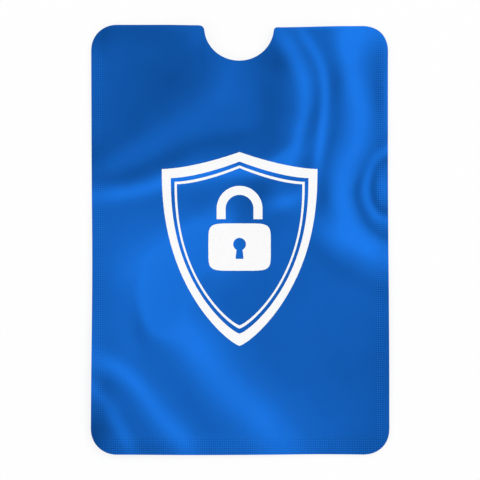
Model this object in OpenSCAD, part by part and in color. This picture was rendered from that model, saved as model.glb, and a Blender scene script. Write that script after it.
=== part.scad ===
// Card sleeve of foil laminate, for one bank-size card.
// Two die-cut panels, front and back, are heat-sealed together along both sides and the bottom.
// Each panel is a laminate of three sheets: a coloured outer film, an aluminium foil that shields
// the card's radio chip, and an inner liner that melts into the seals. The top end is open, with
// a half-round thumb notch through both panels.
// The sleeve lies on its back: +X is its right side, +Y its open mouth and +Z its front face.
// All sizes are in millimetres.

/* [Outline] */
// Width of the sleeve, edge to edge
sleeve_w = 63; // [60:0.5:72]
// Length of the sleeve, from the bottom edge to the mouth
sleeve_l = 91; // [86:0.5:104]
// Radius of the four outer corners
corner_r = 5.5; // [3:0.5:8]

/* [Thumb notch] */
// Radius of the half-round notch in the mouth
notch_r = 7.4; // [5:0.1:10]
// Radius that rounds each lip of the notch
lip_r = 0.8; // [0.4:0.1:1.5]

/* [Laminate] */
// Thickness of the coloured outer film
film_t = 0.05; // [0.04:0.01:0.1]
// Thickness of the aluminium foil
foil_t = 0.04; // [0.03:0.01:0.08]
// Thickness of the inner liner
liner_t = 0.08; // [0.06:0.01:0.12]

/* [Heat seals] */
// Width of the seal along each side
side_seal_w = 2.6; // [2:0.1:3.5]
// Height of the seal along the bottom
bottom_seal_h = 4.8; // [3:0.1:6]

/* [Pocket] */
// Gap between the liners in the middle of the pocket
pocket_gap = 0.9; // [0.6:0.1:1.5]
// Gap between the liners at the mouth
mouth_gap = 1.4; // [0.8:0.1:2]
// Distance over which the pocket opens up from the bottom seal
pocket_rise = 22; // [12:1:30]

/* [Hidden] */
$fn = 96;

film_blue = [0.10, 0.42, 0.86];
foil_silver = [0.80, 0.81, 0.83];
liner_grey = [0.66, 0.69, 0.73];
seal_grey = [0.56, 0.60, 0.66];

half_w = sleeve_w / 2;
half_l = sleeve_l / 2;

// Edges of the pocket, along the inner edges of the seals
pocket_x = half_w - side_seal_w;
pocket_y = -half_l + bottom_seal_h;
pocket_l = half_l - pocket_y;

// Heights of the faces that the sheets share, with the back face at 0
back_foil_z = film_t;
back_liner_z = back_foil_z + foil_t;
pocket_floor_z = back_liner_z + liner_t;
weld_t = 2 * liner_t;

// Margin by which a blank runs past the die-cut outline
blank_margin = 1;
// Depth by which a lip's arc runs into the notch, so that the two arcs cross cleanly
lip_overlap = 0.01;
// Aimed size of a facet of the front panel
facet = 2.6;
// Power of the pocket's rounded cross-section: 2 is a parabola, and more is flatter on top
crown_power = 2.6;

// Soft folds of the front panel, each a ridge along a bent line through a point:
// [x in half widths, y in half lengths, direction in degrees, reach in half lengths,
//  width in half widths, height in pocket gaps, bend of the line]
folds = [
    [ 0.42,  0.62,  95, 0.53, 0.13, 0.30,  0.50],
    [ 0.76,  0.56,  92, 0.42, 0.12, 0.60,  0.30],
    [ 0.76,  0.06, -50, 0.18, 0.14, 0.35,  0.00],
    [-0.48,  0.25,   8, 0.44, 0.13, 0.28,  0.20],
    [-0.36,  0.53,  38, 0.36, 0.14, 0.18,  0.15],
    [-0.52, -0.14,  62, 0.24, 0.20, 0.20,  0.00],
    [-0.15, -0.50, -48, 0.57, 0.22, 0.33,  0.15],
    [-0.64, -0.70, -46, 0.34, 0.12, 0.40, -0.12],
];

// Height of the die: more than the front panel's highest point
tallest_fold = max([for (f = folds) f[5]]);
die_h = pocket_floor_z + liner_t + foil_t + film_t
    + max(pocket_gap, mouth_gap) + 2 * tallest_fold * pocket_gap + blank_margin;

// Share of the full gap across the pocket, 1 on the centre line and 0 at the side seals
function across(x) = 1 - pow(min(1, abs(x) / pocket_x), crown_power);

// Share of the full gap up the pocket, 0 at the bottom seal and 1 from pocket_rise on
function along(y) = let (v = max(0, min(1, (y - pocket_y) / pocket_rise))) v * (2 - v);

// Height that one fold adds at a point
function fold(f, x, y) =
    let (dx = x - f[0] * half_w,
         dy = y - f[1] * half_l,
         u = dx * cos(f[2]) + dy * sin(f[2]),
         v = dy * cos(f[2]) - dx * sin(f[2]) - f[6] * u * u / half_l)
    f[5] * pocket_gap * exp(-pow(u / (f[3] * half_l), 2) - pow(v / (f[4] * half_w), 2));

// Sum of all the folds at a point
function folds_at(x, y) = [for (f = folds) fold(f, x, y)] * [for (f = folds) 1];

// Gap between the two liners at a point: nothing over the seals, widest at the mouth
function gap(x, y) =
    let (t = max(0, (y - pocket_y) / pocket_l),
         middle = pocket_gap + (mouth_gap - pocket_gap) * t * t)
    across(x) * along(y) * (middle + folds_at(x, y));

// Evenly spaced numbers from a to b, in steps of about the facet size
function steps(a, b) = let (n = ceil((b - a) / facet)) [for (i = [0:n]) a + (b - a) * i / n];

// Die-cut outline of a panel: round corners and the thumb notch with its rounded lips
module outline() {
    difference() {
        union() {
            square([sleeve_w - 2 * corner_r, sleeve_l], center = true);
            square([sleeve_w, sleeve_l - 2 * corner_r], center = true);
            for (sx = [-1, 1], sy = [-1, 1])
                translate([sx * (half_w - corner_r), sy * (half_l - corner_r)]) circle(corner_r);
        }
        translate([0, half_l]) circle(notch_r);
        for (side = [0, 1])
            mirror([side, 0]) translate([0, half_l]) lip_cut();
    }
}

// What the die takes off one lip of the notch, with the notch's centre at the origin. The lip
// becomes an arc from the mouth's edge to the notch.
module lip_cut() {
    lip_x = sqrt(pow(notch_r + lip_r - lip_overlap, 2) - lip_r * lip_r);
    difference() {
        polygon([[0, 0], [lip_x, -lip_r], [lip_x, blank_margin], [0, blank_margin]]);
        translate([lip_x, -lip_r]) circle(lip_r);
    }
}

// Window over the pocket, inside the three seals and out past the mouth
module pocket_window() {
    translate([-pocket_x, pocket_y]) square([2 * pocket_x, pocket_l + blank_margin]);
}

// Outline of a liner, which ends at the seals
module liner_outline() {
    intersection() {
        outline();
        pocket_window();
    }
}

// Blank of a front sheet of thickness t, whose underside lies dz above the pocket's front wall.
// It is a grid of facets with grid lines on the inner edges of the seals.
module front_blank(dz, t) {
    xs = concat([-half_w - blank_margin], steps(-pocket_x, pocket_x), [half_w + blank_margin]);
    ys = concat([-half_l - blank_margin], steps(pocket_y, half_l), [half_l + blank_margin]);
    nx = len(xs);
    ny = len(ys);
    n = nx * ny;
    low = [for (y = ys, x = xs) [x, y, pocket_floor_z + gap(x, y) + dz]];
    high = [for (p = low) p + [0, 0, t]];
    cells = [for (j = [0:ny - 2], i = [0:nx - 2]) j * nx + i];
    rim = concat([for (i = [0:nx - 2]) i], [for (j = [0:ny - 2]) j * nx + nx - 1],
                 [for (i = [nx - 1:-1:1]) (ny - 1) * nx + i], [for (j = [ny - 1:-1:1]) j * nx]);
    polyhedron(
        points = concat(low, high),
        faces = concat(
            [for (c = cells) each [[c, c + 1, c + nx + 1], [c, c + nx + 1, c + nx]]],
            [for (c = cells) each [[n + c, n + c + nx + 1, n + c + 1],
                                   [n + c, n + c + nx, n + c + nx + 1]]],
            [for (k = [0:len(rim) - 1])
                let (a = rim[k], b = rim[(k + 1) % len(rim)]) [a, n + a, n + b, b]]
        ),
        convexity = 6
    );
}

// Front sheet, cut from its blank by a die of the outline given as its child
module front_sheet(dz, t) {
    intersection() {
        front_blank(dz, t);
        linear_extrude(die_h) children();
    }
}

// Flat sheet of thickness t with its underside at height z and the outline given as its child
module flat_sheet(z, t) {
    translate([0, 0, z]) linear_extrude(t) children();
}

// Strip where the two liners have melted into one, within the window given as its child
module weld() {
    color(seal_grey)
        flat_sheet(back_liner_z, weld_t)
            intersection() {
                outline();
                children();
            }
}

// Coloured film on the outside of the back
module back_film() {
    color(film_blue) flat_sheet(0, film_t) outline();
}

// Shielding foil of the back panel
module back_foil() {
    color(foil_silver) flat_sheet(back_foil_z, foil_t) outline();
}

// Sealing liner of the back panel, which is the floor of the pocket
module back_liner() {
    color(liner_grey) flat_sheet(back_liner_z, liner_t) liner_outline();
}

// Fused strip that joins the panels along the left side
module left_seal() {
    weld() translate([-half_w, pocket_y]) square([side_seal_w, pocket_l]);
}

// Fused strip that joins the panels along the right side
module right_seal() {
    weld() translate([pocket_x, pocket_y]) square([side_seal_w, pocket_l]);
}

// Fused strip that closes the bottom, from side to side
module bottom_seal() {
    weld() translate([-half_w, -half_l]) square([sleeve_w, bottom_seal_h]);
}

// Sealing liner of the front panel, inside the seals
module front_liner() {
    color(liner_grey) front_sheet(0, liner_t) liner_outline();
}

// Shielding foil of the front panel, which lies on the liner and on the seals
module front_foil() {
    color(foil_silver) front_sheet(liner_t, foil_t) outline();
}

// Coloured film on the outside of the front
module front_film() {
    color(film_blue) front_sheet(liner_t + foil_t, film_t) outline();
}

back_film();
back_foil();
back_liner();
left_seal();
right_seal();
bottom_seal();
front_liner();
front_foil();
front_film();
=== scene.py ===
"""Card sleeve of heat-sealed metallised film: its looks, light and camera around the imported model.

The sleeve lies flat with its open mouth towards +Y. Lengths in the classes are millimetres in the
part's frame, unless a class says otherwise; the meshes are written in metres.
"""
import logging
import math
from collections.abc import Callable
from dataclasses import dataclass
from enum import Enum

import bpy
import numpy as np
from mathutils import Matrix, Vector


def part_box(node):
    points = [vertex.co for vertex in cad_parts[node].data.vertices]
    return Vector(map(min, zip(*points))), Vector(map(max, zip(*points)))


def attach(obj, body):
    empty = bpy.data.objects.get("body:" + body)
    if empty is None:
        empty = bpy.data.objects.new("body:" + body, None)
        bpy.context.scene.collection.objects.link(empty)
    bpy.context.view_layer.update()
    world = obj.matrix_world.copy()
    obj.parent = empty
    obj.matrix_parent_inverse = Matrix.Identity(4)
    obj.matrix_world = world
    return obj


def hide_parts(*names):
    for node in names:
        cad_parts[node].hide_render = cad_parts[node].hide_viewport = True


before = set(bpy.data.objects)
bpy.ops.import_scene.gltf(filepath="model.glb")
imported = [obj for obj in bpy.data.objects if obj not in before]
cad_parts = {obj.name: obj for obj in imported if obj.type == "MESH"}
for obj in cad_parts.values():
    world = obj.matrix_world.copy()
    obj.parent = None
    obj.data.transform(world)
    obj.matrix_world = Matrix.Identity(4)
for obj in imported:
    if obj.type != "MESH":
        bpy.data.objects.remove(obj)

MM = 0.001
# Keeps a divisor off zero, and a place inside the last cell of its grid
TINY = 1e-9

Array = np.ndarray
Places = tuple[Array, Array]
Pair = tuple[float, float]
Triple = tuple[float, float, float]
Window = tuple[float, float, float, float]
Material = bpy.types.Material
Socket = bpy.types.NodeSocket
Inputs = dict[str | int, object]
Finishes = dict[str, Material]

log = logging.getLogger("card_sleeve")


class Piece(Enum):
    """The pieces of the sleeve, each with the material slot of the record that it takes."""

    FRONT_FILM = ("front_film", "film")
    FRONT_FOIL = ("front_foil", "foil")
    FRONT_LINER = ("front_liner", "liner")
    BACK_FILM = ("back_film", "film")
    BACK_FOIL = ("back_foil", "foil")
    BACK_LINER = ("back_liner", "liner")
    LEFT_SEAL = ("left_seal", "seal")
    RIGHT_SEAL = ("right_seal", "seal")
    BOTTOM_SEAL = ("bottom_seal", "seal")

    @property
    def node(self) -> str:
        """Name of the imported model's node that the piece stands for."""
        return self.value[0]

    @property
    def slot(self) -> str:
        """Name of the record's material slot."""
        return self.value[1]


@dataclass(frozen=True)
class SleeveSize:
    """Half sizes of the sleeve, the widths of its seals, and the pocket between them."""

    half_w: float
    half_l: float
    side_seal: float
    bottom_seal: float

    @property
    def pocket_x(self) -> float:
        """Inner edge of the right seal."""
        return self.half_w - self.side_seal

    @property
    def pocket_y(self) -> float:
        """Inner edge of the bottom seal."""
        return self.bottom_seal - self.half_l


def smooth_step(t: Array) -> Array:
    """Rises from 0 to 1 as t does, as 3t^2 - 2t^3, and stays level beyond."""
    t = np.clip(t, 0.0, 1.0)
    return t * t * (3.0 - 2.0 * t)


# Light that the film mirrors, and the waves that it takes
@dataclass(frozen=True)
class StudioDome:
    """Soft dome over the sleeve: bright beyond its upper right corner, dim beyond its lower left.

    The dome's strength in a direction R is dark + (bright - dark) / (1 + exp(-steep (s + shift))),
    where s is R's share along the floor direction `toward`, and shift makes it `flat` straight up.
    A film that rises by m along `toward` mirrors the direction with s = -2m to a viewer straight
    above. So m is minus half of the curve's inverse at the tone, held `reserve` within its limits.
    """

    dark: float = 0.30
    bright: float = 1.08
    flat: float = 0.70
    steep: float = 18.5
    toward: Pair = (0.6, 0.8)
    reserve: float = 0.04

    @property
    def shift(self) -> float:
        """Share s by which the curve is moved, so that s = 0 gives `flat`."""
        return math.log((self.flat - self.dark) / (self.bright - self.flat)) / self.steep

    def slope_for(self, tone: Array) -> Array:
        """Slope m of the film that mirrors each wanted tone."""
        t = np.clip(tone, self.dark + self.reserve, self.bright - self.reserve)
        return -0.5 * (np.log((t - self.dark) / (self.bright - t)) / self.steep - self.shift)


@dataclass(frozen=True)
class Glow:
    """Soft patch of lighter or dimmer film: an ellipse of Gaussian fall-off."""

    x: float
    y: float
    along: float
    across: float
    turn: float
    strength: float

    def tone(self, x: Array, y: Array) -> Array:
        """Strength times exp(-(u / along)^2 - (v / across)^2), u and v turned by `turn` degrees.

        Args:
            x: Places across.
            y: Places along.

        Returns:
            The patch's share of the tone.
        """
        c, s = math.cos(math.radians(self.turn)), math.sin(math.radians(self.turn))
        u = (x - self.x) * c + (y - self.y) * s
        v = (y - self.y) * c - (x - self.x) * s
        return self.strength * np.exp(-((u / self.along) ** 2) - (v / self.across) ** 2)


@dataclass(frozen=True)
class Streak:
    """Line of light or shade along a ripple of the film, through given points."""

    points: tuple[Pair, ...]
    width: float
    strength: float
    samples: int = 120
    fade: float = 0.12
    faintest: float = 0.35

    def curve(self) -> Array:
        """Catmull-Rom curve through the points.

        Returns:
            Places on the curve, one row each.
        """
        p = np.array(self.points, float)
        p = np.vstack([2 * p[0] - p[1], p, 2 * p[-1] - p[-2]])
        spans = len(p) - 3
        t = np.linspace(0, spans, self.samples)
        i = np.minimum(t.astype(int), spans - 1)
        f = (t - i)[:, None]
        a, b, c, d = p[i], p[i + 1], p[i + 2], p[i + 3]
        return 0.5 * (
            2 * b + (c - a) * f + (2 * a - 5 * b + 4 * c - d) * f**2 + (3 * b - a - 3 * c + d) * f**3
        )

    def tone(self, x: Array, y: Array) -> Array:
        """Strength times a Gaussian of the distance from the curve, weaker towards its ends.

        Args:
            x: Places across.
            y: Places along.

        Returns:
            The streak's share of the tone.
        """
        c = self.curve()
        reach = (x.ravel()[:, None] - c[:, 0]) ** 2 + (y.ravel()[:, None] - c[:, 1]) ** 2
        share = reach.argmin(axis=1) / (self.samples - 1)
        ends = np.clip(np.minimum(share, 1 - share) / self.fade, 0, 1)
        dim = self.faintest + (1 - self.faintest) * ends
        line = np.exp(-reach.min(axis=1) / self.width**2) * dim
        return self.strength * line.reshape(x.shape)


# Patches of the film: x, y, reach along, reach across, turn in degrees, strength
PATCHES = (
    (-17, 30, 20, 12, 30, -0.14),
    (-16, 32, 13, 4.5, 48, -0.08),
    (6.5, 30, 13, 3.5, 95, -0.14),
    (-20, -8, 10, 8, 90, 0.16),
    (31, -28, 20, 7, 90, -0.10),
    (-30.5, -41, 6, 3, 75, -0.30),
    (-21, -38, 5, 3, -60, 0.06),
    (24, 44, 5, 5, 0, 0.08),
    (-5, 6, 12, 8, 0, 0.08),
    (-22, 46, 16, 5.5, 0, -0.14),
    (29, 44.5, 5.5, 3.5, 0, 0.32),
    (31.8, 31, 10, 1.4, 90, 0.36),
    (20, 0.5, 4.5, 2.6, -45, 0.24),
    (30, 31, 2.5, 8, 0, -0.14),
    (-31, 17, 6, 4.5, 0, -0.12),
    (-6, -4, 7, 7, 0, 0.26),
    (-5, 2, 6, 6, 0, 0.12),
    (-11.5, -10, 4, 3, -60, 0.14),
    (10.5, 8.4, 4.5, 1.8, 20, 0.30),
    (9, 18, 3, 1.8, 20, 0.12),
    (18, 10, 4.5, 1.8, 90, -0.20),
    (27, -1, 7, 4, -45, 0.12),
    (-30.5, -31, 4, 4, 0, -0.08),
    (8, -42, 9, 4, -45, 0.08),
    (-6.5, -16, 9, 5, -60, 0.10),
    (-19.5, -13, 5, 3.5, -60, 0.05),
    (-25, -21, 9, 5, -70, 0.15),
    (-6, -21, 9, 5, -50, 0.08),
    (20, -27, 10, 6, 90, -0.06),
    (-18, -26, 11, 4, -60, 0.06),
    (22, 43, 5, 2.5, 90, 0.08),
    (9.5, 38, 5, 2, 90, -0.06),
    (-8, 8, 4, 3, 0, -0.08),
    (30.5, 11, 3, 1.1, 90, 0.26),
    (-24, 22, 6, 3, 30, -0.06),
    (-5, 12.5, 9, 2.6, 0, 0.11),
    (13.5, 12.5, 3, 1.6, -60, 0.16),
    (10, 21.5, 4, 3, 0, 0.07),
    (-19, -17, 5.5, 3, -60, 0.11),
    (26.5, 40, 3, 2, 90, 0.11),
    (-30, 43, 3, 4, 0, -0.11),
    (27, -44, 7, 3, 0, -0.07),
    (-20, -44.5, 10, 2, 0, -0.14),
    (-14, -20, 26, 18, 100, 0.09),
    (24, -24, 8, 18, 0, -0.04),
    (-3, 7, 6, 4, 0, 0.12),
    (6, 15, 4, 5, 0, 0.10),
    (-8, -4, 6, 5, 0, 0.07),
    (-23, 4, 7, 5, 0, 0.05),
    (10, 39, 5, 4, 0, -0.11),
    (-16, 38, 12, 6, 0, -0.04),
    (-30, -11, 5, 6, 0, -0.09),
    (-20, -4, 5, 5, 0, 0.07),
    (-12, -38.5, 5, 3, -50, 0.05),
    (11, 24, 3, 3, 0, 0.06),
    (-26, -8, 4, 9, 0, 0.09),
    (-28, -37, 3, 5, 0, 0.06),
    (-18, -29, 9, 3, -50, 0.07),
    (-25.5, -34, 4.5, 2, -60, 0.09),
    (-23, -23, 4, 3, -30, 0.05),
    (-2, 1, 3, 6, 0, 0.12),
    (-8.5, 43.5, 3, 2.5, 0, 0.11),
    (-13, 45, 4, 0.9, 0, 0.09),
    (16, 39.5, 5, 1.2, -67, -0.09),
    (-27, 17.5, 8, 3, 25, -0.06),
    (-16.5, -13.5, 3, 5, 0, 0.13),
    (-21.5, -16, 1.5, 5, 10, -0.08),
    (9.5, 7.5, 3, 2, 0, 0.08),
    (13, 17, 4, 2, 0, -0.06),
    (26.5, 0.5, 3, 1.5, -45, -0.07),
)

# Ripples of the film: the points that each runs through, half its width, strength
RIPPLES = (
    (((8, 46), (10.2, 42), (12.2, 38), (13.6, 34), (14, 30), (13.6, 26), (12.6, 22), (11.5, 18.5),
      (9.5, 15.5), (7, 13)), 1.9, 0.37),
    (((12.3, 46), (15.4, 41), (17.4, 36.5), (18.1, 32), (18, 27.5), (17.5, 23), (16.8, 18),
      (16.2, 13)), 1.1, 0.41),
    (((23.5, 47), (23.2, 41), (23.8, 35.5), (25, 30.5), (25.8, 26), (25, 20.5), (22.8, 15.5),
      (21.5, 11), (22.2, 7), (23.2, 3), (25.5, 0), (29, -2.5), (34, -5)), 3, 0.38),
    (((-33, 8.8), (-26, 9.7), (-20, 10.8), (-14, 12.8), (-8, 14.3), (-2, 14.6), (4, 14.8),
      (8, 16), (11, 18.5)), 1.8, 0.34),
    (((-33, 12), (-24, 13.5), (-17, 16), (-10, 19.5), (-3, 21), (4, 22)), 2, -0.12),
    (((-33, 13.5), (-26, 16.5), (-20, 19.5), (-14, 23), (-9, 26.5), (-5, 30.5), (-2.5, 35),
      (-1.5, 41)), 2.9, 0.15),
    (((-8, 6), (-13.5, -2), (-16.5, -10), (-14.5, -17), (-9.5, -24), (-3, -31), (4, -37),
      (11, -46)), 5.2, 0.28),
    (((-33, -24), (-26.6, -27.2), (-22.6, -30.2), (-19.1, -34.2), (-15.7, -38.7), (-12.2, -42.5),
      (-9.8, -46)), 2.7, 0.30),
    (((-34, -28.5), (-29, -33.6), (-26.9, -37.1), (-24.9, -40.6), (-22.3, -46)), 1.6, 0.25),
    (((17.6, 46), (19.3, 41), (20.4, 37), (21, 33), (21, 28), (20.4, 23), (19.2, 18.5),
      (18, 14)), 1.2, -0.07),
    (((14, 0), (18, -4), (24, -8), (33, -12)), 2, -0.06),
    (((31, 22), (27.3, 17), (25.6, 14), (24.9, 11), (24.9, 9), (25.8, 6), (27.3, 3.2), (29.5, 1.2),
      (34, -0.5)), 1.0, -0.20),
    (((33, 20.5), (29.7, 18), (28, 15.5), (27.1, 13), (26.8, 10.5), (27.2, 8), (28.2, 6), (30, 4.3),
      (34, 3.6)), 0.8, 0.33),
    (((34, 17.5), (30.4, 16.5), (28.9, 14.5), (28.3, 12), (28.3, 10), (28.8, 8), (29.8, 6.5),
      (34, 5.3)), 0.7, -0.19),
)


@dataclass(frozen=True)
class FilmTone:
    """Lightness of the film seen from straight above: a base with patches and streaks."""

    base: float = 0.62
    glows: tuple[Glow, ...] = tuple(Glow(*row) for row in PATCHES)
    streaks: tuple[Streak, ...] = tuple(Streak(*row) for row in RIPPLES)

    def at(self, x: Array, y: Array) -> Array:
        """Sum of the base, the patches and the streaks."""
        return self.base + sum(part.tone(x, y) for part in (*self.glows, *self.streaks))


@dataclass(frozen=True)
class HeightMap:
    """Heights on an even grid, read between by a cubic B-spline, and held level beyond it."""

    x0: float
    y0: float
    pitch: float
    heights: Array

    def at(self, x: Array, y: Array) -> Array:
        """Height at any place: the sixteen nearest grid heights in B-spline shares.

        Args:
            x: Places across.
            y: Places along.

        Returns:
            Heights, of x's shape.
        """
        padded = np.pad(self.heights, 2, mode="reflect", reflect_type="odd")
        rows, cols = self.heights.shape
        u = np.clip((x - self.x0) / self.pitch, 0, cols - 1 - TINY)
        v = np.clip((y - self.y0) / self.pitch, 0, rows - 1 - TINY)
        i, j = u.astype(int), v.astype(int)
        across, along = self._shares(u - i), self._shares(v - j)
        return sum(
            along[b] * across[a] * padded[j + 1 + b, i + 1 + a] for b in range(4) for a in range(4)
        )

    @staticmethod
    def _shares(f: Array) -> tuple[Array, ...]:
        """Shares of four neighbours in a cubic B-spline at the fraction f."""
        return (
            (1 - f) ** 3 / 6,
            (3 * f**3 - 6 * f**2 + 4) / 6,
            (-3 * f**3 + 3 * f**2 + 3 * f + 1) / 6,
            f**3 / 6,
        )


@dataclass(frozen=True)
class FilmBalance:
    """Forces on a film whose heights stand on an even grid: its slopes, its stiffness, its seat."""

    pitch: float
    toward: Pair
    stiff: float
    pull: Array

    def slope(self, z: Array) -> Array:
        """Slope of the heights along `toward`, at the middle of each cell.

        Args:
            z: Heights.

        Returns:
            Slopes, one for each cell.
        """
        gx = z[:-1, 1:] - z[:-1, :-1] + z[1:, 1:] - z[1:, :-1]
        gy = z[1:, :-1] - z[:-1, :-1] + z[1:, 1:] - z[:-1, 1:]
        return (self.toward[0] * gx + self.toward[1] * gy) / (2 * self.pitch)

    def slope_back(self, slopes: Array) -> Array:
        """Sum at each point of its cells' slopes, each by the share that the point has in it.

        Args:
            slopes: Slopes of the cells.

        Returns:
            Sums, one for each point.
        """
        out = np.zeros_like(self.pull)
        p, q = self.toward[0] / (2 * self.pitch), self.toward[1] / (2 * self.pitch)
        out[:-1, 1:] += slopes * (p - q)
        out[:-1, :-1] -= slopes * (p + q)
        out[1:, 1:] += slopes * (p + q)
        out[1:, :-1] += slopes * (q - p)
        return out

    def bend(self, z: Array) -> Array:
        """Minus the sum of second differences, with free outer edges.

        Args:
            z: Heights.

        Returns:
            Sums, one for each point.
        """
        out = np.zeros_like(z)
        gx, gy = np.diff(z, axis=1) / self.pitch**2, np.diff(z, axis=0) / self.pitch**2
        out[:, 1:] += gx
        out[:, :-1] -= gx
        out[1:, :] += gy
        out[:-1, :] -= gy
        return out

    def force(self, slopes: Array, z: Array) -> Array:
        """Force of these slopes in the cells and these heights at the points."""
        return self.slope_back(slopes) + self.stiff * self.bend(z) + self.pull * z

    def settle(self, want: Array, rest: Array, rounds: int, close: float) -> Array:
        """Heights whose force is that of the wanted slopes and the rest form.

        Conjugate gradients from the rest form.

        Args:
            want: Wanted slopes of the cells.
            rest: Heights of the rest form.
            rounds: Most steps taken.
            close: Share of the squared force at which it stops.

        Returns:
            Heights in balance.
        """
        load = self.force(want, rest)
        goal = close * float((load**2).sum())
        z, left = rest, load - self.force(self.slope(rest), rest)
        step, size = left, float((left**2).sum())
        for _ in range(rounds):
            push = self.force(self.slope(step), step)
            share = size / float((step * push).sum())
            z, left = z + share * step, left - share * push
            new = float((left**2).sum())
            if new < goal:
                break
            step, size = left + new / size * step, new
        return z


@dataclass(frozen=True)
class FilmWaves:
    """Heights that the front film takes between its seals, under the studio dome.

    The film z is the smoothest one whose slope along the dome's direction gives the wanted tone:
    it minimises the sum of (slope - wanted)^2 + stiff |grad(z - p)|^2 + pull (z - p)^2, where p is
    the pillow of the empty pocket and the pull is stronger in the seals. All edges are free. The
    viewer is at the height `eye`, so that a place p is seen with p . toward / eye more of s.
    """

    size: SleeveSize
    pitch: float = 0.35
    stiff: float = 0.02
    pull: float = 0.002
    seal_pull: float = 0.003
    seal_fade: float = 2.0
    gap: float = 0.3
    mouth: float = 0.8
    rise: float = 30.0
    crown: float = 2.6
    eye: float = 2500.0
    rounds: int = 900
    close: float = 1e-12

    def pillow(self, x: Array, y: Array) -> Array:
        """Rest form of the pocket: a crown across, rising from the bottom seal to the mouth.

        Args:
            x: Places across.
            y: Places along.

        Returns:
            (1 - |u|^crown) times v(2 - v) times the gap, which widens with t^2 to the mouth.
        """
        up = y - self.size.pocket_y
        u = np.minimum(1, abs(x) / self.size.pocket_x)
        v = np.clip(up / self.rise, 0, 1)
        t = np.clip(up / (self.size.half_l - self.size.pocket_y), 0, None)
        return (1 - u**self.crown) * v * (2 - v) * (self.gap + (self.mouth - self.gap) * t * t)

    def solve(self, tone: FilmTone, dome: StudioDome) -> HeightMap:
        """Turns the wanted tone into slopes, and the slopes into heights.

        Args:
            tone: Wanted lightness of the film.
            dome: Light that the film mirrors.

        Returns:
            The film's heights.
        """
        size, pitch = self.size, self.pitch
        x, y = np.meshgrid(*(np.arange(-half, half, pitch) for half in (size.half_w, size.half_l)))
        aside = (dome.toward[0] * x + dome.toward[1] * y) / (2 * self.eye)
        want = dome.slope_for(tone.at(x, y)) + aside
        want = (want[1:, 1:] + want[1:, :-1] + want[:-1, 1:] + want[:-1, :-1]) / 4
        seal = np.maximum(abs(x) + size.side_seal - size.half_w, size.pocket_y - y)
        pull = self.pull + self.seal_pull * np.clip(1 + seal / self.seal_fade, 0, 1)
        film = FilmBalance(pitch, dome.toward, self.stiff, pull)
        heights = film.settle(want, self.pillow(x, y), self.rounds, self.close)
        return HeightMap(-size.half_w, -size.half_l, pitch, heights)


# Outline and meshes
def spread(start: float, end: float, length: float, pitch: float, fewest: int = 4) -> Array:
    """Even places from start to end, as many as pitches in the length, and at least `fewest`."""
    return np.linspace(start, end, max(fewest, round(length / pitch)))


@dataclass(frozen=True)
class EdgeShift:
    """How far one edge of the made sleeve lies off its blank, at each place t along the edge.

    It is `level`, plus size exp(-((t - middle) / reach)^2) for each swell (middle, reach, size),
    plus size S((t - start) / run) for each step (start, run, size), S being the smooth step.
    """

    level: float = 0.0
    swells: tuple[Triple, ...] = ()
    steps: tuple[Triple, ...] = ()

    def at(self, t: Array) -> Array:
        """Shift at each place t.

        Args:
            t: Places along the edge.

        Returns:
            The shifts.
        """
        shift = self.level
        for middle, reach, size in self.swells:
            shift = shift + size * np.exp(-(((t - middle) / reach) ** 2))
        for start, run, size in self.steps:
            shift = shift + size * smooth_step((t - start) / run)
        return shift


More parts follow.
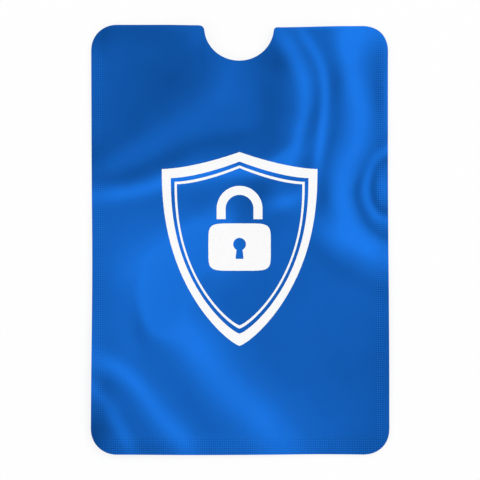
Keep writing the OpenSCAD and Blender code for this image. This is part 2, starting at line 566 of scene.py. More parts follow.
@dataclass(frozen=True)
class Blank:
    """Die-cut outline: a rounded oblong with a thumb notch in the middle of its mouth edge.

    The made sleeve is a little out of true: `left`, `right`, `foot` and `mouth` shift its edges,
    and `corners` pushes each corner outwards: its two signs, and how far.
    """

    size: SleeveSize
    corner_r: float = 5.5
    notch_r: float = 7.4
    lip_r: float = 0.8
    ease: float = 24.0
    notch_run: float = 10.0
    lip_run: float = 2.5
    corner_run: float = 7.7
    near: float = 0.2
    left: EdgeShift = EdgeShift(swells=((-5, 24, 0.33),), steps=((5, 25, 0.11),))
    right: EdgeShift = EdgeShift(level=-0.11, steps=((18, -50, 0.30),))
    foot: EdgeShift = EdgeShift(swells=((-8, 14, -0.11), (17, 7, 0.07)))
    mouth: EdgeShift = EdgeShift(
        level=-0.09,
        steps=((-16, 8, -0.10), (-8.6, 1.6, -0.29), (6.8, 1.8, -0.14), (8, 15, 0.27)),
    )
    corners: tuple[Triple, ...] = ((1, 1, 0.17), (1, -1, 0.11), (-1, 1, 0.06), (-1, -1, 0.04))
    corner_in: float = 1.6
    corner_reach: float = 3.0
    end_start: float = 30.0
    end_run: float = 15.5
    notch_draw: float = -0.13
    notch_reach: float = 11.0

    @property
    def lip_x(self) -> float:
        """Distance from the middle to the centre of a lip's arc."""
        return math.sqrt((self.notch_r + self.lip_r) ** 2 - self.lip_r**2)

    @property
    def touch_x(self) -> float:
        """Distance from the middle to where a lip's arc meets the notch's."""
        return self.notch_r * self.lip_x / (self.notch_r + self.lip_r)

    def columns(self, pitch: float, low: float, high: float) -> Array:
        """Places across for a mesh: even on straight edges, and even in angle along the arcs.

        Args:
            pitch: Spacing on straight edges.
            low: Left end.
            high: Right end.

        Returns:
            Rising places from low to high.
        """
        turn = math.asin(self.touch_x / self.notch_r)
        shoulder = self.size.half_w - self.corner_r
        notch = self.notch_r * np.sin(spread(0, turn, self.notch_run, pitch))
        lip = self.lip_x - self.lip_r * np.sin(spread(turn, 0, self.lip_run, pitch))
        flat = spread(self.lip_x, shoulder, shoulder - self.lip_x, pitch)
        corner = shoulder + self.corner_r * np.sin(spread(0, math.pi / 2, self.corner_run, pitch))
        half = np.concatenate([notch, lip[1:], flat[1:], corner[1:]])
        whole = np.concatenate([-half[:0:-1], half])
        near = self.near * pitch
        inside = whole[(whole > low + near) & (whole < high - near)]
        return np.concatenate([[low], inside, [high]])

    def corner_cut(self, x: Array) -> Array:
        """How far a corner's arc lies inside the outline's end: r - sqrt(r^2 - d^2)."""
        d = np.clip(abs(x) - (self.size.half_w - self.corner_r), 0, self.corner_r)
        return self.corner_r - np.sqrt(self.corner_r**2 - d**2)

    def top(self, x: Array) -> Array:
        """Mouth edge at each x: the notch's arc, then a lip's arc, then the straight and corner.

        Args:
            x: Places across.

        Returns:
            The edge's y.
        """
        d, end = abs(x), self.size.half_l
        notch = end - np.sqrt(np.clip(self.notch_r**2 - d**2, 0, None))
        lip = end - self.lip_r + np.sqrt(np.clip(self.lip_r**2 - (self.lip_x - d) ** 2, 0, None))
        edge = end - self.corner_cut(x)
        return np.where(d <= self.touch_x, notch, np.where(d < self.lip_x, lip, edge))

    def bottom(self, x: Array) -> Array:
        """Bottom edge at each x."""
        return self.corner_cut(x) - self.size.half_l

    def grid(self, pitch: float, window: Window) -> Places:
        """Grid of places that fills the outline within a window.

        Rows are level in the middle, and within `ease` of each end they follow its edge by the
        eased share of the edge's offset: y = Y + (top(x) - high) S(...) + (bottom(x) - low) S(...).
        A short window has even shares from edge to edge instead.

        Args:
            pitch: Spacing of the grid.
            window: Left, right, low and high limits.

        Returns:
            x and y of each grid point, rows from low to high.
        """
        left, right, low, high = window
        x = self.columns(pitch, left, right)
        level = spread(low, high, high - low + pitch, pitch)
        up = np.minimum(self.top(x), high) - high
        down = np.maximum(self.bottom(x), low) - low
        if high - low < 2 * self.ease:
            rising = (level - low) / (high - low)
            falling = 1 - rising
        else:
            rising = smooth_step((level - high + self.ease) / self.ease)
            falling = smooth_step((low + self.ease - level) / self.ease)
        y = level[:, None] + up * rising[:, None] + down * falling[:, None]
        return np.broadcast_to(x, y.shape).copy(), y

    def drawn(self, x: Array, y: Array) -> Places:
        """Takes the flat blank's places to the made sleeve's.

        A side's shift fades with the square of the way to the middle, and the mouth's and the
        foot's with the eased share of `end_run`. The notch is drawn sideways, and each corner is
        pushed along its diagonal by a Gaussian about a point within its arc.

        Args:
            x: Places across the flat blank.
            y: Places along the flat blank.

        Returns:
            The places on the made sleeve.
        """
        u = x / self.size.half_w
        near = smooth_step((y - self.end_start) / self.end_run)
        far = smooth_step((-self.end_start - y) / self.end_run)
        side = self.left.at(y) * np.clip(-u, 0, 1) ** 2 + self.right.at(y) * np.clip(u, 0, 1) ** 2
        notch = self.notch_draw * near * np.exp(-((x / self.notch_reach) ** 4))
        out_x = out_y = np.zeros_like(x)
        for sx, sy, push in self.corners:
            dx = x - sx * (self.size.half_w - self.corner_in)
            dy = y - sy * (self.size.half_l - self.corner_in)
            bell = push * np.exp(-(dx**2 + dy**2) / self.corner_reach**2)
            out_x, out_y = out_x + sx * bell, out_y + sy * bell
        ends = y + self.mouth.at(x) * near + self.foot.at(x) * far
        return x + side + notch + out_x, ends + out_y


def flat_mesh(
    name: str, x: Array, y: Array, upper: Array, lower: Array, ring: bool = False
) -> bpy.types.Object:
    """Closed sheet over a grid: an upper and a lower face joined by walls round the border.

    Point (i, j) of the grid is (x, y, upper) above and (x, y, lower) below, in millimetres. With
    ring, the last column joins the first, and the walls run along the two rims alone.

    Args:
        name: Name of the object.
        x: Places across, rows by columns.
        y: Places along.
        upper: Heights of the upper face.
        lower: Heights of the lower face.
        ring: Whether the columns run round a closed ring.

    Returns:
        The object, at the origin, with its place in its mesh.
    """
    rows, cols = x.shape
    count = rows * cols
    both = [np.stack([x, y, z], axis=-1).reshape(-1, 3) for z in (upper, lower)]
    points = np.concatenate(both) * MM
    ids = np.arange(count).reshape(rows, cols)
    if ring:
        ids = np.concatenate([ids, ids[:, :1]], axis=1)
        rims = [ids[0], ids[-1][::-1]]
    else:
        rims = [np.concatenate([ids[0, :-1], ids[:-1, -1], ids[-1, :0:-1], ids[::-1, 0]])]
    a, b, c, d = ids[:-1, :-1], ids[:-1, 1:], ids[1:, 1:], ids[1:, :-1]
    top = np.stack([a, b, c, d], axis=-1).reshape(-1, 4)
    walls = [np.stack([r[:-1] + count, r[1:] + count, r[1:], r[:-1]], axis=-1) for r in rims]
    faces = np.concatenate([top, top[:, ::-1] + count, *walls])
    turn = (x[0, 1] - x[0, 0]) * (y[1, 0] - y[0, 0]) - (y[0, 1] - y[0, 0]) * (x[1, 0] - x[0, 0])
    if turn < 0:
        faces = faces[:, ::-1]
    return mesh_object(name, points, faces)


def mesh_object(name: str, points: Array, faces: Array, sharp: float = 40.0) -> bpy.types.Object:
    """Mesh of four-sided faces with smooth shading and sharp rims.

    Args:
        name: Name of the object.
        points: Vertices in metres.
        faces: Four vertex numbers a face, turning left seen from outside.
        sharp: Angle in degrees from which an edge is sharp.

    Returns:
        The linked object.
    """
    mesh = bpy.data.meshes.new(name)
    mesh.vertices.add(len(points))
    mesh.vertices.foreach_set("co", points.astype(np.float32).ravel())
    mesh.loops.add(faces.size)
    mesh.loops.foreach_set("vertex_index", faces.astype(np.int32).ravel())
    mesh.polygons.add(len(faces))
    mesh.polygons.foreach_set("loop_start", np.arange(0, faces.size, 4, dtype=np.int32))
    mesh.polygons.foreach_set("use_smooth", np.ones(len(faces), bool))
    mesh.update(calc_edges=True)
    mesh.validate()
    mesh.set_sharp_from_angle(angle=math.radians(sharp))
    piece = bpy.data.objects.new(name, mesh)
    bpy.context.scene.collection.objects.link(piece)
    return piece


# Finishes
class Blend(Enum):
    """How a ramp changes between its ends."""

    EASED = "SMOOTHSTEP"
    EVEN = "LINEAR"


class Nodes:
    """Shader nodes of one material or world, added and wired by short calls."""

    def __init__(self, owner: Material | bpy.types.World) -> None:
        """Gives the owner an empty node tree."""
        owner.use_nodes = True
        self.tree = owner.node_tree
        self.tree.nodes.clear()

    def add(self, kind: str, inputs: Inputs | None = None, **settings: object) -> bpy.types.Node:
        """Adds a node.

        Args:
            kind: Blender's node type.
            inputs: A value or an output socket for each named or numbered input.
            settings: Attributes of the node.

        Returns:
            The node.
        """
        node = self.tree.nodes.new(kind)
        for key, value in settings.items():
            setattr(node, key, value)
        for key, value in (inputs or {}).items():
            if isinstance(value, bpy.types.NodeSocket):
                self.tree.links.new(value, node.inputs[key])
            else:
                node.inputs[key].default_value = value
        return node

    def place(self) -> Socket:
        """Object coordinates in metres."""
        return self.add("ShaderNodeTexCoord").outputs["Object"]

    def calc(self, operation: str, *values: object) -> Socket:
        """Result of Blender's Math operation on numbers or sockets."""
        return self.add("ShaderNodeMath", dict(enumerate(values)), operation=operation).outputs[0]

    def times(self, a: object, b: object) -> Socket:
        """Product of two numbers or sockets."""
        return self.calc("MULTIPLY", a, b)

    def dot(self, a: Socket, b: Triple) -> Socket:
        """Share of a vector along a direction."""
        return self.add("ShaderNodeVectorMath", {0: a, 1: b}, operation="DOT_PRODUCT").outputs["Value"]

    def mix(self, share: Socket, a: object, b: object) -> Socket:
        """Number between a, at share 0, and b, at share 1."""
        return self.add("ShaderNodeMix", {0: share, 2: a, 3: b}, data_type="FLOAT").outputs[0]

    def ramp(
        self, value: Socket, source: Pair, target: Pair = (0.0, 1.0), blend: Blend = Blend.EASED
    ) -> Socket:
        """Takes a value from one range to another, held at its ends.

        Args:
            value: The driving value.
            source: Where the change starts and ends.
            target: The results there.
            blend: How the result changes between them.

        Returns:
            The output socket.
        """
        inputs = dict(enumerate((value, *source, *target)))
        return self.add("ShaderNodeMapRange", inputs, interpolation_type=blend.value).outputs[0]

    def even(self, value: Socket, source: Pair, target: Pair) -> Socket:
        """Ramp that changes evenly."""
        return self.ramp(value, source, target, Blend.EVEN)

    def edge(self, place: Socket, at: float, run: Pair) -> Socket:
        """Ramp from 0 to 1 along a coordinate, over a run of millimetres from an edge."""
        return self.ramp(place, ((at + run[0]) * MM, (at + run[1]) * MM))

    def noise(self, place: Socket, scale: float, detail: float, rough: float = 0.5) -> Socket:
        """Noise from 0 to 1, of so many cells a metre and octaves, each `rough` of the one before."""
        inputs = {"Vector": place, "Scale": scale, "Detail": detail, "Roughness": rough}
        return self.add("ShaderNodeTexNoise", inputs).outputs[0]

    def bump(self, height: Socket, depth: float, **over: Socket) -> Socket:
        """Normal of a pattern whose 1 is `depth` millimetres high, over another Normal if any."""
        inputs = {"Height": height, "Distance": depth * MM, "Strength": 1.0, **over}
        return self.add("ShaderNodeBump", inputs).outputs[0]

    def tinted(self, colour: Triple, share: Socket) -> Socket:
        """Colour times a share that varies over the surface."""
        return self.add("ShaderNodeVectorMath", {0: colour, 3: share}, operation="SCALE").outputs[0]

    def shade(self, inputs: Inputs) -> None:
        """Principled surface with these inputs, joined to the material's output."""
        surface = self.add("ShaderNodeBsdfPrincipled", inputs)
        self.add("ShaderNodeOutputMaterial", {"Surface": surface.outputs[0]})


@dataclass(frozen=True)
class FilmFinish:
    """Satin metallised film: mirrors the studio softly, with the seals' press pattern in it.

    What it mirrors at a low angle goes from `colour` towards white, held back by `low_tint`. The
    haze takes its tone through `tones` over `tone_span`, and `rough` over `rough_span`. The
    pattern stops `margin` short of the side edges and `foot_margin` short of the bottom one, and
    comes in twice in the bottom seal: `faint` and `full` are runs from its edge and shares.
    """

    size: SleeveSize
    colour: Triple = (0.0116, 0.184, 0.79)
    low_tint: Triple = (0.3, 0.6, 1.0)
    rough: Pair = (0.12, 0.16)
    haze: Pair = (160.0, 4.0)
    tone_span: Pair = (0.2, 0.8)
    tones: Pair = (0.97, 1.03)
    rough_span: Pair = (0.3, 0.7)
    grain: Pair = (2600.0, 2.0)
    grain_depth: float = 0.0004
    press_pitch: float = 0.46
    press_depth: float = 0.004
    margin: float = 0.9
    foot_margin: float = 0.3
    margin_run: float = 0.2
    side_run: Pair = (-0.1, 0.2)
    faint: tuple[Pair, float] = ((0.0, -0.3), 0.35)
    full: tuple[Pair, float] = ((-1.3, -1.9), 0.65)

    def press(self, nodes: Nodes, place: Socket) -> Socket:
        """Pattern that the heated jaws leave: a fine square grid within the three seals.

        Its height is (sin(kx) + sin(ky)) / 2 times the share of the seal band.

        Args:
            nodes: The material's nodes.
            place: Object coordinates.

        Returns:
            Height of the pattern, from -1 to 1.
        """
        size, k = self.size, 2 * math.pi / (self.press_pitch * MM)
        x, y, _ = nodes.add("ShaderNodeSeparateXYZ", {0: place}).outputs
        waves = [nodes.calc("SINE", nodes.times(axis, k)) for axis in (x, y)]
        weave = nodes.times(nodes.calc("ADD", *waves), 0.5)
        side = nodes.calc("ABSOLUTE", x)
        foot = [
            nodes.times(nodes.edge(y, size.pocket_y, run), share)
            for run, share in (self.faint, self.full)
        ]
        sides = nodes.edge(side, size.pocket_x, self.side_run)
        band = nodes.calc("MAXIMUM", sides, nodes.calc("ADD", *foot))
        rim = nodes.times(
            nodes.edge(side, size.half_w - self.margin, (self.margin_run, 0.0)),
            nodes.edge(y, self.foot_margin - size.half_l, (-self.margin_run, 0.0)),
        )
        return nodes.times(weave, nodes.times(band, rim))

    def material(self) -> Material:
        """Builds the film's material.

        Returns:
            The material.
        """
        made = bpy.data.materials.new("satin_blue_film")
        nodes = Nodes(made)
        place = nodes.place()
        haze, grain = nodes.noise(place, *self.haze), nodes.noise(place, *self.grain)
        fine = nodes.bump(grain, self.grain_depth)
        nodes.shade({
            "Base Color": nodes.tinted(self.colour, nodes.even(haze, self.tone_span, self.tones)),
            "Specular Tint": (*self.low_tint, 1.0),
            "Metallic": 1.0,
            "Roughness": nodes.even(haze, self.rough_span, self.rough),
            "Normal": nodes.bump(self.press(nodes, place), self.press_depth, Normal=fine),
        })
        return made


@dataclass(frozen=True)
class FoilFinish:
    """Bare aluminium barrier, seen at the cut edges, with rolling lines along the sleeve."""

    colour: Triple = (0.80, 0.81, 0.82)
    rough: Pair = (0.22, 0.34)
    lines: Pair = (900.0, 3.0)
    stretch: Triple = (6.0, 0.3, 6.0)
    depth: float = 0.001

    def material(self) -> Material:
        """Builds the foil's material.

        Returns:
            The material.
        """
        made = bpy.data.materials.new("bright_foil")
        nodes = Nodes(made)
        rolled = nodes.add("ShaderNodeMapping", {"Vector": nodes.place(), "Scale": self.stretch})
        lines = nodes.noise(rolled.outputs[0], *self.lines)
        nodes.shade({
            "Base Color": (*self.colour, 1.0),
            "Metallic": 1.0,
            "Roughness": nodes.even(lines, (0.0, 1.0), self.rough),
            "Normal": nodes.bump(lines, self.depth),
        })
        return made


@dataclass(frozen=True)
class MattFinish:
    """Matt sheet or ink. Its fine grain shifts the tone over `span`, and stands in low relief."""

    name: str
    colour: Triple
    rough: float
    grain: Triple = (1800.0, 5.0, 0.6)
    tones: Pair = (0.94, 1.04)
    depth: float = 0.004
    span: Pair = (0.3, 0.7)

    def material(self) -> Material:
        """Builds the sheet's or ink's material.

        Returns:
            The material.
        """
        made = bpy.data.materials.new(self.name)
        nodes = Nodes(made)
        grain = nodes.noise(nodes.place(), *self.grain)
        nodes.shade({
            "Base Color": nodes.tinted(self.colour, nodes.even(grain, self.span, self.tones)),
            "Roughness": self.rough,
            "Normal": nodes.bump(grain, self.depth),
        })
        return made


# Sub-assemblies
@dataclass(frozen=True)
class Laminate:
    """Thickness of each sheet, and how every sheet rides on the film's waves.

    Foils, liners and seals are thinner by `clear` on each face, so that none shows through.
    """

    waves: HeightMap
    size: SleeveSize
    film: float = 0.05
    foil: float = 0.04
    liner: float = 0.08
    clear: float = 0.004
    fade: float = 6.0
    slack: float = 0.14
    uneven: float = 0.7
    sine: Pair = (0.23, 0.08)
    cosine: Pair = (-0.06, 0.15)

    @property
    def lift(self) -> float:
        """Rise that brings the deepest trough of the waves down to the table and no further."""
        return max(0.0, -float(self.waves.heights.min()))

    @property
    def seal_top(self) -> float:
        """Height of the flat seals' upper face: both liners' thickness on the back foil."""
        return self.film + self.foil + 2 * self.liner

    def front(self, x: Array, y: Array) -> Array:
        """Rise of the front sheets over their flat seat: the lift plus the waves, 0 at least."""
        return np.maximum(self.lift + self.waves.at(x, y), 0.0)

    def back(self, x: Array, y: Array) -> Array:
        """Rise of the back sheets: the front's in the seals, and a small share of it in the pocket.

        At a place p the share is slack (1 + uneven sin(sine . p) cos(cosine . p)), so the back
        has soft waves of its own.

        Args:
            x: Places across.
            y: Places along.

        Returns:
            The rise.
        """
        inside = np.minimum(self.size.pocket_x - abs(x), y - self.size.pocket_y)
        held = smooth_step((self.fade - inside) / self.fade)
        wave = np.sin(self.sine[0] * x + self.sine[1] * y)
        share = self.slack * (1 + self.uneven * wave * np.cos(self.cosine[0] * x + self.cosine[1] * y))
        return self.front(x, y) * (held + (1 - held) * share)

    def film_top(self, x: Array, y: Array) -> Array:
        """Height of the front film's outer face."""
        return self.seal_top + self.foil + self.film + self.front(x, y)


def mount(made: bpy.types.Object, piece: Piece, finishes: Finishes) -> None:
    """Gives a new piece its finish and its place in the frame.

    Args:
        made: The new object.
        piece: The piece that it is.
        finishes: The material of each slot.
    """
    made.data.materials.append(finishes[piece.slot])
    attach(made, "root")
    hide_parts(piece.node)
    log.info("%s: %d faces", made.name, len(made.data.polygons))


@dataclass(frozen=True)
class Panel:
    """Sheets of one side of the sleeve, cut from the same blank: a fine mesh for the outer film."""

    blank: Blank
    stack: Laminate
    finishes: Finishes
    fine: float = 0.42
    coarse: float = 0.8

    def sheet(self, piece: Piece, low: float, thick: float, rise: Callable[..., Array]) -> None:
        """Builds and dresses one sheet: a liner in the pocket, or another on the whole blank.

        Its upper face is low + thick + rise(x, y) and its lower face low + rise(x, y).

        Args:
            piece: Which sheet it is.
            low: Height of its flat lower face.
            thick: Its thickness.
            rise: The wave of its side.
        """
        size, outer = self.blank.size, piece.slot == "film"
        window = (-size.half_w, size.half_w, -size.half_l, size.half_l)
        if piece.slot == "liner":
            window = (-size.pocket_x, size.pocket_x, size.pocket_y, size.half_l)
        x, y = self.blank.grid(self.fine if outer else self.coarse, window)
        wave = rise(x, y)
        gap = 0.0 if outer else self.stack.clear
        x, y = self.blank.drawn(x, y)
        made = flat_mesh(f"{piece.node}_sheet", x, y, low + thick - gap + wave, low + gap + wave)
        mount(made, piece, self.finishes)


class FrontPanel(Panel):
    """Front of the sleeve: film, foil and liner over the pocket."""

    def build(self) -> None:
        """Builds the three sheets from the inside outwards."""
        s = self.stack
        self.sheet(Piece.FRONT_LINER, s.seal_top - s.liner, s.liner, s.front)
        self.sheet(Piece.FRONT_FOIL, s.seal_top, s.foil, s.front)
        self.sheet(Piece.FRONT_FILM, s.seal_top + s.foil, s.film, s.front)


class BackPanel(Panel):
    """Back of the sleeve: the same three sheets, nearly flat on the table inside the seals."""

    def build(self) -> None:
        """Builds the three sheets from the outside inwards."""
        s = self.stack
        self.sheet(Piece.BACK_FILM, 0.0, s.film, s.back)
        self.sheet(Piece.BACK_FOIL, s.film, s.foil, s.back)
        self.sheet(Piece.BACK_LINER, s.film + s.foil, s.liner, s.back)


@dataclass(frozen=True)
class HeatSeals:
    """Three fused strips that join the panels; the bottom one ends `inset` within the sides."""

    blank: Blank
    stack: Laminate
    finishes: Finishes
    pitch: float = 0.6
    inset: float = 0.06

    def build(self) -> None:
        """Builds the strips between the back foil and the front foil."""
        stack, size = self.stack, self.blank.size
        low, high = stack.film + stack.foil + stack.clear, stack.seal_top - stack.clear
        tip = size.half_w - self.inset
        windows = {
            Piece.LEFT_SEAL: (-size.half_w, -size.pocket_x, size.pocket_y, size.half_l),
            Piece.RIGHT_SEAL: (size.pocket_x, size.half_w, size.pocket_y, size.half_l),
            Piece.BOTTOM_SEAL: (-tip, tip, -size.half_l, size.pocket_y),
        }
        for piece, window in windows.items():
            x, y = self.blank.grid(self.pitch, window)
            under, over = stack.back(x, y), stack.front(x, y)
            x, y = self.blank.drawn(x, y)
            made = flat_mesh(f"{piece.node}_strip", x, y, high + over, low + under)
            mount(made, piece, self.finishes)


@dataclass(frozen=True)
class Emblem:
    """White print on the front: a plain shield of two lines with a padlock in it.

    The padlock's places are measured from the middle of the keyhole's disc. `lock` is half the
    body's width and height, `stem` the stem's length, half width and spread, and `bow` the
    shackle's radius, the length of its legs and the height of their feet. `rim` counts the points
    round the body and the keyhole.
    """

    blank: Blank
    stack: Laminate
    finish: Material
    centre: Pair = (0.0, -1.0)
    shield_w: float = 16.5
    shield_up: float = 19.5
    shield_down: float = 21.5
    shoulder: float = 3.6
    peak_inset: float = 1.05
    tip_inset: float = 1.35
    line: float = 1.9
    hairline: Pair = (2.7, 3.2)
    lock: Pair = (6.6, 5.0)
    lock_drop: float = 0.6
    lock_power: float = 6.0
    hole_r: float = 1.35
    stem: Triple = (3.1, 0.5, 0.12)
    bow: Triple = (3.9, 2.2, 5.3)
    bow_half: float = 0.95
    ink: float = 0.012
    sink: float = 0.01
    rim: int = 240

    def shield(self, inset: float, count: int = 120) -> Places:
        """Shield outline: a top edge that dips from its peak, and sides that close to a tip.

        The right half runs from the tip up the side, x = w (1 - u^2.3)^0.8, and back along the
        top, y = shoulder + rise (1 - t)^1.6; the left half is its mirror.

        Args:
            inset: Distance inside the outer edge.
            count: Points along a side.

        Returns:
            x and y round the outline, turning left.
        """
        w, peak = self.shield_w - inset, self.shield_up - self.peak_inset * inset
        shoulder = self.shield_up - self.shoulder - inset
        tip = self.tip_inset * inset - self.shield_down
        u = np.linspace(1, 0, count) ** 0.8
        t = np.linspace(1, 0, count // 2)[1:]
        x = np.concatenate([w * (1 - u**2.3) ** 0.8, w * t])
        y = np.concatenate([(tip - shoulder) * u, (peak - shoulder) * (1 - t) ** 1.6]) + shoulder
        return np.concatenate([x, -x[-2:0:-1]]), np.concatenate([y, y[-2:0:-1]])

    def lock_body(self, angle: Array) -> Places:
        """Padlock body: a superellipse, `lock_drop` lower than the keyhole's disc.

        Args:
            angle: Directions from the middle of the body.

        Returns:
            x and y of the rim.
        """
        c, s = np.cos(angle), np.sin(angle)
        x = self.lock[0] * np.sign(c) * abs(c) ** (2 / self.lock_power)
        y = self.lock[1] * np.sign(s) * abs(s) ** (2 / self.lock_power)
        return x, y - self.lock_drop

    def keyhole(self, angle: Array) -> Places:
        """Keyhole: a disc over a stem that widens downwards, as a radius for each angle.

        The radius is the larger of the disc's and the stem's, and the stem's is the smaller of
        the ray's way to its foot and to its side.

        Args:
            angle: Directions from the disc's middle.

        Returns:
            x and y of the rim.
        """
        length, half, spread = self.stem
        c, s = np.cos(angle), np.sin(angle)
        down = np.maximum(-s, TINY)
        stem = np.minimum(length / down, half / np.maximum(abs(c) - spread * down, TINY))
        r = np.maximum(self.hole_r, np.where(s < 0, stem, 0.0))
        return r * c, r * s

    def shackle(self, side: float, count: int = 48) -> Places:
        """Shackle rim at a distance `side` outside its middle line: two legs and a half circle.

        Args:
            side: Distance from the middle line, outwards.
            count: Points on the half circle.

        Returns:
            x and y along the rim.
        """
        radius, leg, foot = self.bow
        r, turn = radius + side, np.linspace(0, math.pi, count)
        x = np.concatenate([[r], r * np.cos(turn), [-r]])
        y = np.concatenate([[0.0], leg + r * np.sin(turn), [0.0]])
        return x, y + foot

    def lay(self, name: str, inner: Places, outer: Places, across: int, ring: bool = True) -> None:
        """Lays a band of ink between two rims on the film.

        A point is inner(t) (1 - s) + outer(t) s, and its heights are the film's own, from `sink`
        under its face to `ink` above it.

        Args:
            name: Name of the piece.
            inner: Inner rim.
            outer: Outer rim, with as many points.
            across: Points across the band.
            ring: Whether the rims are closed.
        """
        s = np.linspace(0, 1, across)[:, None]
        x, y = (a * (1 - s) + b * s + c for a, b, c in zip(inner, outer, self.centre))
        face = self.stack.film_top(x, y)
        x, y = self.blank.drawn(x, y)
        made = flat_mesh(name, x, y, face + self.ink, face - self.sink, ring)
        made.data.materials.append(self.finish)
        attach(made, "root")
        log.info("%s: %d faces", made.name, len(made.data.polygons))

    def build(self) -> None:
        """Builds the shield's two lines and the padlock."""
        angle = np.linspace(0, 2 * math.pi, self.rim + 1)[:-1]
        near, far = self.hairline
        self.lay("print_shield", self.shield(self.line), self.shield(0.0), 7)
        self.lay("print_hairline", self.shield(far), self.shield(near), 3)
        self.lay("print_lock", self.keyhole(angle), self.lock_body(angle), 14)
        self.lay("print_shackle", self.shackle(-self.bow_half), self.shackle(self.bow_half), 7, False)


@dataclass(frozen=True)
class Lamp:
    """Large square lamp aimed at the sleeve. Its place and side are in metres, its power in watts."""

    name: str
    place: Triple
    side: float
    power: float

    def build(self) -> None:
        """Builds the lamp."""
        light = bpy.data.lights.new(self.name, "AREA")
        light.shape, light.size, light.energy = "SQUARE", self.side, self.power
        made = bpy.data.objects.new(self.name, light)
        made.location = self.place
        x, y, z = self.place
        made.rotation_euler = (math.atan2(math.hypot(x, y), z), 0.0, math.atan2(x, -y))
        bpy.context.scene.collection.objects.link(made)


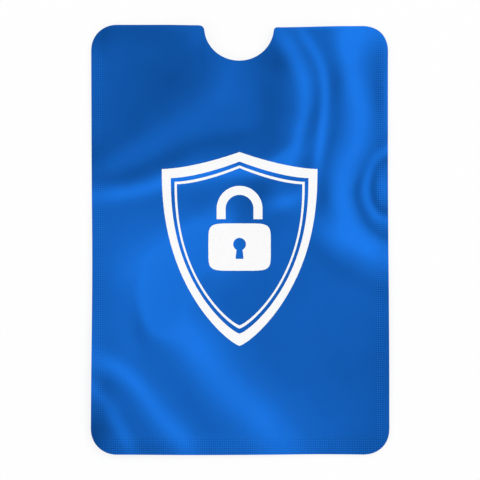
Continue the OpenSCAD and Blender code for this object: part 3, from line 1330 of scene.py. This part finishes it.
@dataclass(frozen=True)
class Studio:
    """Pale floor, soft dome, two large lamps and the camera over the sleeve.

    Its dome is wider in range and steeper than the one that the film's slopes are worked out for,
    because satin film blurs it. Each glow of the walls has an azimuth and an elevation in degrees,
    a narrowness and a strength. The ray's share upwards is `wall_up` where the walls grow to full
    strength and `over_up` where they take over from the dome. `floor_half` and `clip` are in metres.
    """

    dome: StudioDome = StudioDome(dark=0.22, bright=1.12, steep=19.425)
    field_w: float = 101.57
    aim: Pair = (0.095, -0.106)
    height: float = 2500.0
    sensor: float = 36.0
    clip: Pair = (0.1, 50.0)
    floor_half: float = 2.0
    floor_z: float = -0.05
    floor_tone: float = 0.95
    shadow: float = 0.18
    contact: float = 1.5
    horizon: float = 0.36
    wall: float = 0.80
    tilt: float = 0.10
    wall_up: Pair = (0.18, 0.62)
    over_up: Pair = (0.86, 0.62)
    glows: tuple[tuple[float, float, float, float], ...] = (
        (38, 38, 20, 0.60),
        (110, 34, 14, -0.18),
        (165, 36, 20, 0.40),
        (235, 32, 14, -0.22),
        (300, 38, 22, 0.50),
    )
    lamps: tuple[Lamp, ...] = (
        Lamp("key_lamp", (0.9, 0.7, 1.1), 0.9, 6.5),
        Lamp("fill_lamp", (-0.9, -0.5, 1.0), 0.9, 4.4),
    )

    def build(self) -> None:
        """Builds the dome, the floor, the lamps and the camera."""
        self.world()
        self.floor()
        for lamp in self.lamps:
            lamp.build()
        self.camera()

    def world(self) -> None:
        """Dome light: StudioDome's curve overhead, and walls with soft glows lower down.

        The walls' strength rises from `horizon` to `wall` with height, and adds tilt s and, for
        each glow towards d, a strength times exp(k (R . d - 1)). The light is mirrored below the
        floor. Camera rays see plain white.
        """
        world = bpy.data.worlds.new("studio_dome")
        bpy.context.scene.world = world
        nodes, dome = Nodes(world), self.dome
        place = nodes.add("ShaderNodeTexCoord").outputs["Generated"]
        x, y, z = nodes.add("ShaderNodeSeparateXYZ", {0: place}).outputs
        up = nodes.calc("ABSOLUTE", z)
        ray = nodes.add("ShaderNodeCombineXYZ", {0: x, 1: y, 2: up}).outputs[0]
        share = nodes.dot(ray, (*dome.toward, 0.0))
        power = nodes.times(nodes.calc("ADD", share, dome.shift), -dome.steep)
        below = nodes.calc("ADD", nodes.calc("EXPONENT", power), 1.0)
        over = nodes.calc("ADD", nodes.calc("DIVIDE", dome.bright - dome.dark, below), dome.dark)
        rise = nodes.ramp(up, self.wall_up, (self.horizon, self.wall))
        walls = nodes.calc("MULTIPLY_ADD", share, self.tilt, rise)
        for azimuth, elevation, narrow, strength in self.glows:
            turn, lift = math.radians(azimuth), math.radians(elevation)
            flat = math.cos(lift)
            along = nodes.dot(ray, (flat * math.cos(turn), flat * math.sin(turn), math.sin(lift)))
            bell = nodes.calc("EXPONENT", nodes.calc("MULTIPLY_ADD", along, narrow, -narrow))
            walls = nodes.calc("MULTIPLY_ADD", bell, strength, walls)
        lit = nodes.mix(nodes.ramp(up, self.over_up), over, walls)
        seen = nodes.add("ShaderNodeLightPath").outputs["Is Camera Ray"]
        inputs = {"Color": (1, 1, 1, 1), "Strength": nodes.mix(seen, lit, 1.0)}
        light = nodes.add("ShaderNodeBackground", inputs)
        nodes.add("ShaderNodeOutputWorld", {"Surface": light.outputs[0]})

    def floor(self) -> None:
        """White floor that shows a soft shadow.

        It is clear from below, so that the sleeve's back shows there, and clear to rays that the
        back mirrors into it within `contact`.
        """
        half, z = self.floor_half, self.floor_z * MM
        points = np.array([[-half, -half, z], [half, -half, z], [half, half, z], [-half, half, z]])
        made = mesh_object("studio_floor", points, np.array([[0, 1, 2, 3]]))
        material = bpy.data.materials.new("white_floor")
        nodes = Nodes(material)
        path = nodes.add("ShaderNodeLightPath").outputs
        glossy = path["Is Glossy Ray"]
        mirrored = nodes.calc("MAXIMUM", glossy, path["Is Transmission Ray"])
        seen = nodes.calc("MAXIMUM", path["Is Camera Ray"], mirrored)
        body = nodes.add("ShaderNodeBsdfDiffuse", {"Color": (*(self.floor_tone,) * 3, 1.0)})
        glow = nodes.add("ShaderNodeEmission", {"Color": (1, 1, 1, 1), "Strength": 1.0})
        shown = nodes.times(seen, 1.0 - self.shadow)
        inputs = {0: shown, 1: body.outputs[0], 2: glow.outputs[0]}
        lit = nodes.add("ShaderNodeMixShader", inputs)
        behind = nodes.add("ShaderNodeNewGeometry").outputs["Backfacing"]
        near = nodes.calc("LESS_THAN", path["Ray Length"], self.contact * MM)
        hidden = nodes.calc("MAXIMUM", behind, nodes.times(near, glossy))
        clear = nodes.add("ShaderNodeBsdfTransparent")
        inputs = {0: hidden, 1: lit.outputs[0], 2: clear.outputs[0]}
        final = nodes.add("ShaderNodeMixShader", inputs)
        nodes.add("ShaderNodeOutputMaterial", {"Surface": final.outputs[0]})
        made.data.materials.append(material)

    def camera(self) -> None:
        """Camera straight above, with a long lens, the mouth edge at the top of the picture."""
        data = bpy.data.cameras.new("camera")
        data.sensor_width = self.sensor
        data.lens = self.sensor * self.height / self.field_w
        data.clip_start, data.clip_end = self.clip
        made = bpy.data.objects.new("camera", data)
        made.location = tuple(value * MM for value in (*self.aim, self.height))
        bpy.context.scene.collection.objects.link(made)
        bpy.context.scene.camera = made


def corners(box: tuple[object, object]) -> list[list[float]]:
    """Lowest and highest corner as plain lists of numbers."""
    return [[float(value) for value in corner] for corner in box]


def main() -> None:
    """Builds the sleeve and its studio."""
    logging.basicConfig(level=logging.INFO, format="%(name)s: %(message)s")
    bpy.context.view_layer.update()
    low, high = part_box("back_film")
    left_low, left_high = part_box("left_seal")
    foot_low, foot_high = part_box("bottom_seal")
    size = SleeveSize(
        half_w=(high.x - low.x) / 2 / MM,
        half_l=(high.y - low.y) / 2 / MM,
        side_seal=(left_high.x - left_low.x) / MM,
        bottom_seal=(foot_high.y - foot_low.y) / MM,
    )

    waves = FilmWaves(size).solve(FilmTone(), StudioDome())
    log.info("waves: %.2f to %.2f mm", waves.heights.min(), waves.heights.max())
    blank, stack = Blank(size), Laminate(waves, size)
    finishes = {
        "film": FilmFinish(size).material(),
        "foil": FoilFinish().material(),
        "liner": MattFinish("pale_liner", (0.62, 0.63, 0.64), 0.6).material(),
        "seal": MattFinish("fused_seal", (0.50, 0.52, 0.55), 0.5).material(),
    }
    ink = MattFinish("white_ink", (0.95, 0.95, 0.96), 0.5, (1500.0, 4.0, 0.6), (0.985, 1.015), 0.001)

    BackPanel(blank, stack, finishes).build()
    HeatSeals(blank, stack, finishes).build()
    FrontPanel(blank, stack, finishes).build()
    Emblem(blank, stack, ink.material()).build()
    Studio().build()

    view = bpy.context.scene.view_settings
    view.view_transform = "Standard"


if __name__ == "__main__":
    main()
